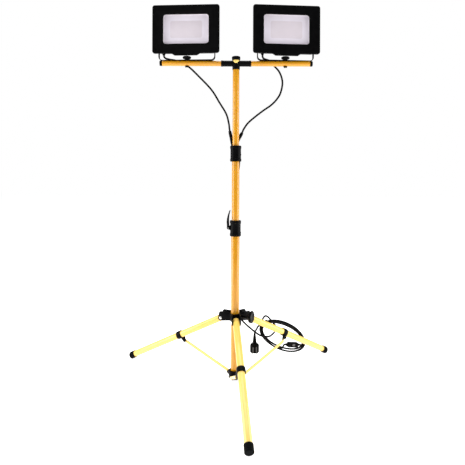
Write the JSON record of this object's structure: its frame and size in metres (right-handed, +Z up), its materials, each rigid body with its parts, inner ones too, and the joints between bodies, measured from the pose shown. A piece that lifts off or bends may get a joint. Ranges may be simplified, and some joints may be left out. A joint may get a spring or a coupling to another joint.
{
  "type": "work light",
  "caption": "Work light: floodlights on a crossbar, on a telescopic mast with clamp levers and a folding tripod; mains lead with plug, coil and inline switch.",
  "frame": {"origin": "middle of the footprint box on the floor, with the cords left out", "axes": "+Z up, the crossbar along X, the lamps facing -Y"},
  "size_m": [0.8562, 0.7802, 1.412],
  "materials": {
    "yellow_paint": "gloss powder coat",
    "black_plastic": "satin moulded",
    "black_metal": "satin powder coat",
    "zinc_steel": "zinc plated",
    "black_rubber": "matte",
    "frosted_glass": "frosted",
    "reflector": "bright",
    "led_board": "phosphor and white mask"
  },
  "bodies": {
    "root": {"lower_tube": "yellow_paint", "base_hub": "black_plastic", "lower_collar": "black_plastic", "lower_lever_pin": "zinc_steel", "main_cord": "black_rubber"},
    "lower_lever": {"lower_lever": "black_plastic"},
    "middle": {"middle_tube": "yellow_paint", "upper_collar": "black_plastic", "upper_lever_pin": "zinc_steel", "cord_splitter": "black_rubber", "lead_left": "black_rubber", "lead_right": "black_rubber"},
    "upper_lever": {"upper_lever": "black_plastic"},
    "head": {"upper_tube": "yellow_paint", "crossbar": "yellow_paint", "cross_fitting": "black_plastic", "top_cap": "black_plastic", "crossbar_cap_left": "black_plastic", "crossbar_cap_right": "black_plastic", "yoke_bolt_left": "zinc_steel", "yoke_bolt_right": "zinc_steel"},
    "hand_knob_left": {"hand_knob_left": "black_plastic"},
    "hand_knob_right": {"hand_knob_right": "black_plastic"},
    "yoke_left": {"yoke_left": "black_metal"},
    "yoke_right": {"yoke_right": "black_metal"},
    "lamp_left": {"front_frame_left": "black_plastic", "glass_left": "frosted_glass", "reflector_left": "reflector", "led_board_left": "led_board", "housing_left": "black_metal", "cord_gland_left": "black_rubber", "tilt_bolt_left_a": "zinc_steel", "tilt_bolt_left_b": "zinc_steel"},
    "lamp_right": {"front_frame_right": "black_plastic", "glass_right": "frosted_glass", "reflector_right": "reflector", "led_board_right": "led_board", "housing_right": "black_metal", "cord_gland_right": "black_rubber", "tilt_bolt_right_a": "zinc_steel", "tilt_bolt_right_b": "zinc_steel"},
    "hub": {"sliding_hub": "black_plastic", "plug": "black_rubber", "tail_cord": "black_rubber"},
    "hub_knob": {"hub_clamp_knob": "black_plastic"},
    "leg_front": {"leg_tube_front": "yellow_paint", "foot_front": "black_rubber", "brace_clamp_front": "black_plastic"},
    "leg_right": {"leg_tube_right": "yellow_paint", "foot_right": "black_rubber", "brace_clamp_right": "black_plastic", "cord_coil": "black_rubber", "switch_body": "black_plastic"},
    "leg_left": {"leg_tube_left": "yellow_paint", "foot_left": "black_rubber", "brace_clamp_left": "black_plastic"},
    "brace_front": {"brace_front": "yellow_paint"},
    "brace_right": {"brace_right": "yellow_paint"},
    "brace_left": {"brace_left": "yellow_paint"},
    "switch_rocker": {"switch_rocker": "black_plastic"}
  },
  "joints": [
    {"name": "lower_lever_hinge", "type": "hinge", "parent": "root", "child": "lower_lever", "pos_m": [-0.00776, 0.10068, 0.577], "axis": [0, -1, 0], "range_deg": [0, 110]},
    {"name": "lower_mast_slide", "type": "slide", "parent": "root", "child": "middle", "axis": [0, 0, 1], "range_m": [-0.18, 0.2]},
    {"name": "upper_lever_hinge", "type": "hinge", "parent": "middle", "child": "upper_lever", "pos_m": [0.03004, 0.12618, 0.856], "axis": [0.9272, -0.3746, 0], "range_deg": [0, 110]},
    {"name": "upper_mast_slide", "type": "slide", "parent": "middle", "child": "head", "axis": [0, 0, 1], "range_m": [-0.27, 0.17], "deforming": ["lead_left", "lead_right"]},
    {"name": "lamp_left_pan", "type": "hinge", "parent": "head", "child": "yoke_left", "pos_m": [-0.16726, 0.10068, 1.2], "axis": [0, 0, 1], "range_deg": [-86.5, 93.5]},
    {"name": "lamp_left_tilt", "type": "hinge", "parent": "yoke_left", "child": "lamp_left", "pos_m": [-0.16726, 0.10068, 1.27], "axis": [-0.9981, 0.0611, 0], "range_deg": [-5, 90]},
    {"name": "hand_knob_left_turn", "type": "hinge", "parent": "head", "child": "hand_knob_left", "pos_m": [-0.16726, 0.10068, 1.2], "axis": [0, 0, 1], "continuous": true},
    {"name": "lamp_right_pan", "type": "hinge", "parent": "head", "child": "yoke_right", "pos_m": [0.20674, 0.10068, 1.2], "axis": [0, 0, 1], "range_deg": [-94, 86]},
    {"name": "lamp_right_tilt", "type": "hinge", "parent": "yoke_right", "child": "lamp_right", "pos_m": [0.20674, 0.10068, 1.27], "axis": [-0.9976, -0.0698, 0], "range_deg": [-5, 90]},
    {"name": "hand_knob_right_turn", "type": "hinge", "parent": "head", "child": "hand_knob_right", "pos_m": [0.20674, 0.10068, 1.2], "axis": [0, 0, 1], "continuous": true},
    {"name": "hub_slide", "type": "slide", "parent": "root", "child": "hub", "axis": [0, 0, 1], "range_m": [0, 0.2222], "deforming": ["main_cord"]},
    {"name": "hub_knob_turn", "type": "hinge", "parent": "hub", "child": "hub_knob", "pos_m": [0.01974, 0.10068, 0.246], "axis": [0.9063, -0.4226, 0], "continuous": true},
    {"name": "leg_front_fold", "type": "hinge", "parent": "hub", "child": "leg_front", "pos_m": [0.02422, 0.04737, 0.232], "axis": [0.9965, 0.0837, 0], "range_deg": [0, 60.8]},
    {"name": "brace_front_fold", "type": "hinge", "parent": "root", "child": "brace_front", "pos_m": [0.02231, 0.07009, 0.02], "axis": [-0.9965, -0.0837, 0], "range_deg": [0, 65.6]},
    {"name": "leg_right_fold", "type": "hinge", "parent": "hub", "child": "leg_right", "pos_m": [0.06367, 0.13121, 0.232], "axis": [-0.5707, 0.8212, 0], "range_deg": [0, 60.8], "deforming": ["tail_cord"]},
    {"name": "brace_right_fold", "type": "hinge", "parent": "root", "child": "brace_right", "pos_m": [0.04495, 0.1182, 0.02], "axis": [0.5707, -0.8212, 0], "range_deg": [0, 65.6]},
    {"name": "leg_left_fold", "type": "hinge", "parent": "hub", "child": "leg_left", "pos_m": [-0.02867, 0.12346, 0.232], "axis": [-0.4258, -0.9048, 0], "range_deg": [0, 60.8]},
    {"name": "brace_left_fold", "type": "hinge", "parent": "root", "child": "brace_left", "pos_m": [-0.00804, 0.11375, 0.02], "axis": [0.4258, 0.9048, 0], "range_deg": [0, 65.6]},
    {"name": "switch_rocker_tip", "type": "hinge", "parent": "leg_right", "child": "switch_rocker", "pos_m": [0.26588, 0.29489, 0.06277], "axis": [-0.1707, -0.1187, -0.9781], "range_deg": [0, 12]}
  ],
  "couplings": [
    {"joint": "leg_front_fold", "follows": "hub_slide", "rad_per_m": 4.7516},
    {"joint": "leg_right_fold", "follows": "hub_slide", "rad_per_m": 4.7516},
    {"joint": "leg_left_fold", "follows": "hub_slide", "rad_per_m": 4.7516},
    {"joint": "brace_front_fold", "follows": "hub_slide", "rad_per_m": 5.122},
    {"joint": "brace_right_fold", "follows": "hub_slide", "rad_per_m": 5.122},
    {"joint": "brace_left_fold", "follows": "hub_slide", "rad_per_m": 5.122}
  ]
}
